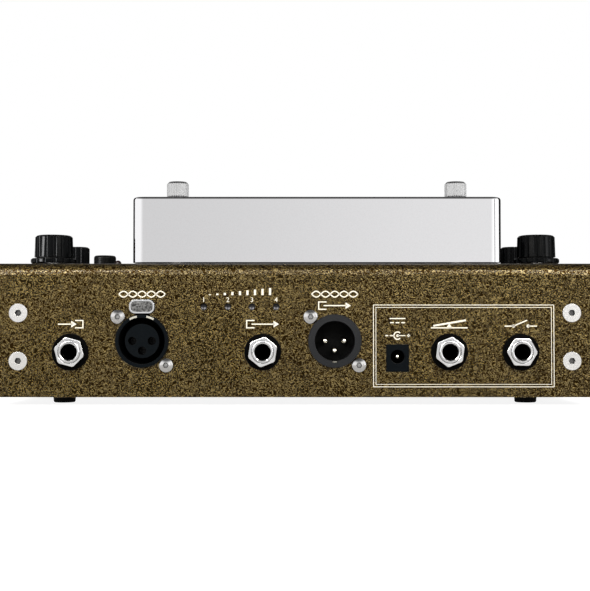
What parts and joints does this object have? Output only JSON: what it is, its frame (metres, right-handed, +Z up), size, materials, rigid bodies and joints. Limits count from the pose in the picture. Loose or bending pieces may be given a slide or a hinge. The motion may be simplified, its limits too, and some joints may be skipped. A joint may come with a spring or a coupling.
{
  "type": "delay pedal",
  "caption": "Magnetic drum delay pedal in a hammer-finish sheet-metal case: rear sockets, knobs and footswitches on top, removable polished cover over a belt-driven drum.",
  "frame": {"origin": "floor under the middle of the overall box, jack bushes included", "axes": "+Z up from the floor, -Y out of the rear panel, +X to the right when facing the rear panel"},
  "size_m": [0.246, 0.2092, 0.095],
  "materials": {
    "hammer_paint": "bronze hammer finish",
    "base_paint": "satin black",
    "foot_rubber": "matt",
    "screw_steel": "zinc plated",
    "socket_black": "fine grain",
    "socket_grey": "satin black chrome",
    "contact_metal": "plated",
    "nickel": "bright nickel",
    "washer_black": "matt",
    "trimmer_blue": "moulded",
    "trimmer_shaft": "moulded",
    "board_green": "solder mask",
    "component_black": "moulded",
    "knob_black": "moulded",
    "shaft_metal": "turned",
    "switch_blue": "moulded",
    "cap_black": "matt",
    "lamp_red": "clear moulded",
    "cover_chrome": "polished",
    "deck_metal": "brushed",
    "drum_metal": "turned",
    "bronze": "sintered",
    "head_metal": "drawn can",
    "bracket_metal": "blackened",
    "motor_metal": "drawn can",
    "pulley_brass": "turned",
    "belt_rubber": "ground"
  },
  "bodies": {
    "case": {"rear_panel": "hammer_paint", "case_shell": "hammer_paint", "left_cheek": "hammer_paint", "right_cheek": "hammer_paint", "base_plate": "base_paint", "rubber_feet": "foot_rubber", "case_screws": "screw_steel", "base_screws": "screw_steel", "xlr_input_shell": "socket_black", "xlr_input_insert": "socket_black", "xlr_input_contacts": "contact_metal", "xlr_output_shell": "socket_grey", "socket_pins": "contact_metal", "small_screws": "screw_steel", "jack_bodies": "socket_black", "jack_bushes": "nickel", "jack_nuts": "nickel", "jack_washers": "washer_black", "dc_socket": "socket_black", "trimmer_bodies": "trimmer_blue", "connector_board": "board_green", "pot_bodies": "motor_metal", "panel_nuts": "nickel", "switch_bodies": "switch_blue", "lamp_bezels": "nickel", "lamps": "lamp_red", "cover_posts": "screw_steel", "deck_plate": "deck_metal", "drum_bearing": "bronze", "drum_heads": "head_metal", "head_brackets": "bracket_metal", "motor": "motor_metal", "drive_belt": "belt_rubber", "main_board": "board_green", "board_parts": "component_black"},
    "cover": {"drum_cover": "cover_chrome"},
    "latch": {"xlr_input_latch": "nickel"},
    "level": {"level_knob": "knob_black", "level_shaft": "shaft_metal"},
    "speed": {"speed_knob": "knob_black", "speed_shaft": "shaft_metal"},
    "tone": {"tone_knob": "knob_black", "tone_shaft": "shaft_metal"},
    "feedback": {"feedback_knob": "knob_black", "feedback_shaft": "shaft_metal"},
    "left_footswitch": {"left_switch_cap": "cap_black", "left_switch_plunger": "nickel"},
    "right_footswitch": {"right_switch_cap": "cap_black", "right_switch_plunger": "nickel"},
    "drum_rotor": {"drum": "drum_metal", "drum_spindle": "screw_steel"},
    "motor_rotor": {"motor_pulley": "pulley_brass"},
    "thumb_1": {"thumb_screw_1": "nickel"},
    "trim_1": {"trimmer_1": "trimmer_shaft"},
    "thumb_2": {"thumb_screw_2": "nickel"},
    "trim_2": {"trimmer_2": "trimmer_shaft"},
    "thumb_3": {"thumb_screw_3": "nickel"},
    "trim_3": {"trimmer_3": "trimmer_shaft"},
    "thumb_4": {"thumb_screw_4": "nickel"},
    "trim_4": {"trimmer_4": "trimmer_shaft"}
  },
  "joints": [
    {"name": "cover_lift", "type": "slide", "parent": "case", "child": "cover", "axis": [0, 0, 1], "range_m": [0, 0.08]},
    {"name": "thumb_1_turn", "type": "hinge", "parent": "cover", "child": "thumb_1", "pos_m": [-0.0508, -0.0724, 0.09], "axis": [0, 0, 1], "continuous": true},
    {"name": "thumb_2_turn", "type": "hinge", "parent": "cover", "child": "thumb_2", "pos_m": [0.0696, -0.0724, 0.09], "axis": [0, 0, 1], "continuous": true},
    {"name": "thumb_3_turn", "type": "hinge", "parent": "cover", "child": "thumb_3", "pos_m": [-0.0508, 0.0266, 0.09], "axis": [0, 0, 1], "continuous": true},
    {"name": "thumb_4_turn", "type": "hinge", "parent": "cover", "child": "thumb_4", "pos_m": [0.0696, 0.0266, 0.09], "axis": [0, 0, 1], "continuous": true},
    {"name": "level_turn", "type": "hinge", "parent": "case", "child": "level", "pos_m": [-0.106, -0.0644, 0.065], "axis": [0, 0, 1], "range_deg": [-150, 150]},
    {"name": "speed_turn", "type": "hinge", "parent": "case", "child": "speed", "pos_m": [0.106, -0.0644, 0.065], "axis": [0, 0, 1], "range_deg": [-150, 150]},
    {"name": "tone_turn", "type": "hinge", "parent": "case", "child": "tone", "pos_m": [-0.106, -0.0074, 0.065], "axis": [0, 0, 1], "range_deg": [-150, 150]},
    {"name": "feedback_turn", "type": "hinge", "parent": "case", "child": "feedback", "pos_m": [0.106, -0.0074, 0.065], "axis": [0, 0, 1], "range_deg": [-150, 150]},
    {"name": "trim_1_turn", "type": "hinge", "parent": "case", "child": "trim_1", "pos_m": [-0.03744, -0.0904, 0.0404], "axis": [0, -1, 0], "range_deg": [-130, 130]},
    {"name": "trim_2_turn", "type": "hinge", "parent": "case", "child": "trim_2", "pos_m": [-0.02754, -0.0904, 0.0404], "axis": [0, -1, 0], "range_deg": [-130, 130]},
    {"name": "trim_3_turn", "type": "hinge", "parent": "case", "child": "trim_3", "pos_m": [-0.01764, -0.0904, 0.0404], "axis": [0, -1, 0], "range_deg": [-130, 130]},
    {"name": "trim_4_turn", "type": "hinge", "parent": "case", "child": "trim_4", "pos_m": [-0.00774, -0.0904, 0.0404], "axis": [0, -1, 0], "range_deg": [-130, 130]},
    {"name": "latch_push", "type": "slide", "parent": "case", "child": "latch", "axis": [0, 1, 0], "range_m": [0, 0.0015], "stiffness_N_per_m": 1500, "springref_m": -0.001},
    {"name": "left_footswitch_press", "type": "slide", "parent": "case", "child": "left_footswitch", "axis": [0, 0, -1], "range_m": [0, 0.003], "stiffness_N_per_m": 4000, "springref_m": -0.002},
    {"name": "right_footswitch_press", "type": "slide", "parent": "case", "child": "right_footswitch", "axis": [0, 0, -1], "range_m": [0, 0.003], "stiffness_N_per_m": 4000, "springref_m": -0.002},
    {"name": "drum_spin", "type": "hinge", "parent": "case", "child": "drum_rotor", "pos_m": [0.0094, -0.0229, 0.07], "axis": [0, 0, 1], "continuous": true},
    {"name": "motor_spin", "type": "hinge", "parent": "case", "child": "motor_rotor", "pos_m": [0.04758, -0.06108, 0.06], "axis": [0, 0, 1], "continuous": true}
  ],
  "couplings": [
    {"joint": "motor_spin", "follows": "drum_spin", "ratio": 4}
  ]
}
